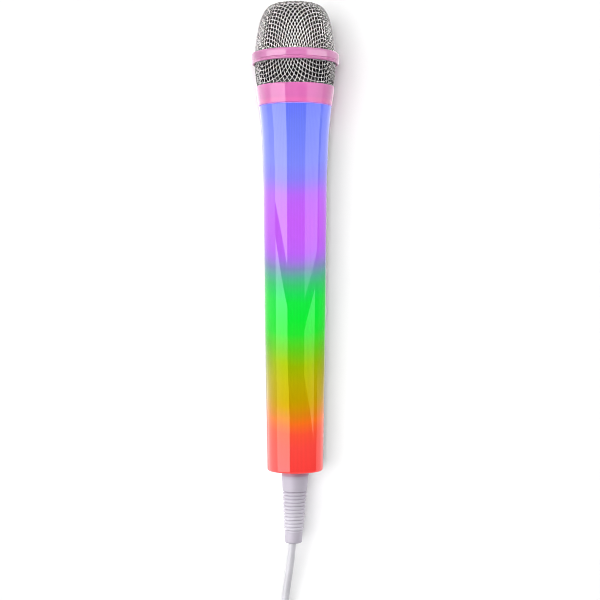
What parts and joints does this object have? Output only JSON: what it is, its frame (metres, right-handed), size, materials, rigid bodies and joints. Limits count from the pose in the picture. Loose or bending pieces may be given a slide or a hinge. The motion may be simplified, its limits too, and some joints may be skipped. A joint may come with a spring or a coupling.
{
  "type": "karaoke microphone",
  "caption": "Corded light-up karaoke microphone with a woven wire ball grille that unscrews, a tapering handle, a slide switch, a ribbed strain relief and a quarter-inch plug.",
  "frame": {"origin": "centre of the handle's lower rim plane, on the microphone's axis", "axes": "+Z along the axis towards the grille, the switch on +Y, the plain side on -Y, +X to the right seen from the plain side"},
  "size_m": [0.0488, 0.0488, 0.449],
  "materials": {
    "rainbow_shell": "clear glossy coat over a backlit rainbow gradient",
    "pink_gloss": "glossy moulded pink",
    "grille_wire": "bright plated woven wire",
    "foam_black": "open-cell foam",
    "seal_rubber": "matte black rubber",
    "white_plastic": "frosted white",
    "lilac_plastic": "satin lilac grey",
    "boot_rubber": "soft satin lilac rubber",
    "cable_jacket": "satin pale grey jacket",
    "nickel": "bright nickel plate",
    "black_plastic": "satin black",
    "neck_metal": "turned satin metal",
    "circuit_board": "solder mask green",
    "led_red": "clear lens, red",
    "led_yellow": "clear lens, yellow",
    "led_green": "clear lens, green",
    "led_violet": "clear lens, violet",
    "led_blue": "clear lens, blue",
    "steel": "zinc-plated steel",
    "copper": "bare copper winding",
    "magnet_grey": "sintered magnet",
    "felt": "pressed felt",
    "battery_wrap": "printed film sleeve over a steel can",
    "film": "thin polyester film",
    "can_aluminium": "sleeved aluminium can",
    "wire_red": "insulated lead",
    "brass": "plain brass"
  },
  "bodies": {
    "handle": {"barrel_shell": "rainbow_shell", "battery_cells": "battery_wrap", "battery_contact": "steel", "battery_plug_cap": "white_plastic", "battery_spine": "white_plastic", "battery_spring": "steel", "board_screws": "steel", "buffer_capacitor": "can_aluminium", "cable_cores": "wire_red", "cable_crimp": "brass", "cable_inlet_length": "cable_jacket", "capsule_basket": "black_plastic", "capsule_front_cap": "steel", "capsule_leads": "wire_red", "capsule_magnet": "magnet_grey", "capsule_shock_mount": "seal_rubber", "capsule_terminal_tag": "circuit_board", "diaphragm_surround": "film", "diffuser_sleeve": "white_plastic", "driver_chip": "black_plastic", "end_cap": "lilac_plastic", "end_cap_screws": "steel", "front_light_board": "circuit_board", "led_blue": "led_blue", "led_green": "led_green", "led_red": "led_red", "led_violet": "led_violet", "led_yellow": "led_yellow", "magnet_yoke": "steel", "neck_ring": "neck_metal", "pole_plate": "steel", "rear_damping_felt": "felt", "rear_driver_board": "circuit_board", "resistors": "black_plastic", "strain_relief_boot": "boot_rubber", "switch_bezel": "lilac_plastic", "switch_housing": "steel"},
    "head": {"head_collar": "pink_gloss", "lower_grille": "grille_wire", "grille_clamp_ring": "black_plastic", "grille_ring": "pink_gloss", "grille_inner_hoop": "steel", "upper_grille": "grille_wire", "foam_windscreen": "foam_black"},
    "gasket": {"neck_gasket": "seal_rubber"},
    "switch": {"switch_lever": "black_plastic", "switch_slider": "black_plastic", "switch_thumb_cap": "pink_gloss"},
    "diaphragm": {"diaphragm": "film", "voice_coil": "copper"},
    "cable_1": {"cable_length_1": "cable_jacket"},
    "cable_2": {"cable_length_2": "cable_jacket"},
    "cable_3": {"cable_length_3": "cable_jacket"},
    "plug": {"cable_length_4": "cable_jacket", "plug_grip": "boot_rubber", "plug_sleeve": "nickel", "plug_insulator": "black_plastic", "plug_tip": "nickel"}
  },
  "joints": [
    {"name": "head_unscrew", "type": "hinge", "parent": "handle", "child": "gasket", "pos_m": [0, 0, 0.2057], "axis": [0, 0, 1], "range_deg": [0, 1080]},
    {"name": "head_rise", "type": "slide", "parent": "gasket", "child": "head", "axis": [0, 0, 1], "range_m": [0, 0.00602]},
    {"name": "switch_slide", "type": "slide", "parent": "handle", "child": "switch", "axis": [0, 0, 1], "range_m": [-0.005, 0]},
    {"name": "diaphragm_travel", "type": "slide", "parent": "handle", "child": "diaphragm", "axis": [0, 0, 1], "range_m": [-0.0003, 0.0003], "stiffness_N_per_m": 100, "deforming": ["diaphragm_surround"]},
    {"name": "cable_bend_side", "type": "hinge", "parent": "handle", "child": "cable_1", "pos_m": [-0.00012, 0, -0.024], "axis": [0, 1, 0], "range_deg": [-20, 20], "stiffness_Nm_per_rad": 0.04, "deforming": ["strain_relief_boot"]},
    {"name": "cable_bend_front", "type": "hinge", "parent": "cable_1", "child": "cable_2", "pos_m": [-0.00251, 0, -0.05], "axis": [1, 0, 0], "range_deg": [-20, 20], "stiffness_Nm_per_rad": 0.02},
    {"name": "cable_bend_side_2", "type": "hinge", "parent": "cable_2", "child": "cable_3", "pos_m": [-0.00603, 0, -0.076], "axis": [0, 1, 0], "range_deg": [-20, 20], "stiffness_Nm_per_rad": 0.02},
    {"name": "cable_bend_front_2", "type": "hinge", "parent": "cable_3", "child": "plug", "pos_m": [-0.00748, 0, -0.102], "axis": [1, 0, 0], "range_deg": [-20, 20], "stiffness_Nm_per_rad": 0.02}
  ],
  "couplings": [
    {"joint": "head_rise", "follows": "head_unscrew", "m_per_rad": 0.00031831},
    {"joint": "cable_bend_side_2", "follows": "cable_bend_side", "ratio": 1},
    {"joint": "cable_bend_front_2", "follows": "cable_bend_front", "ratio": 1}
  ]
}
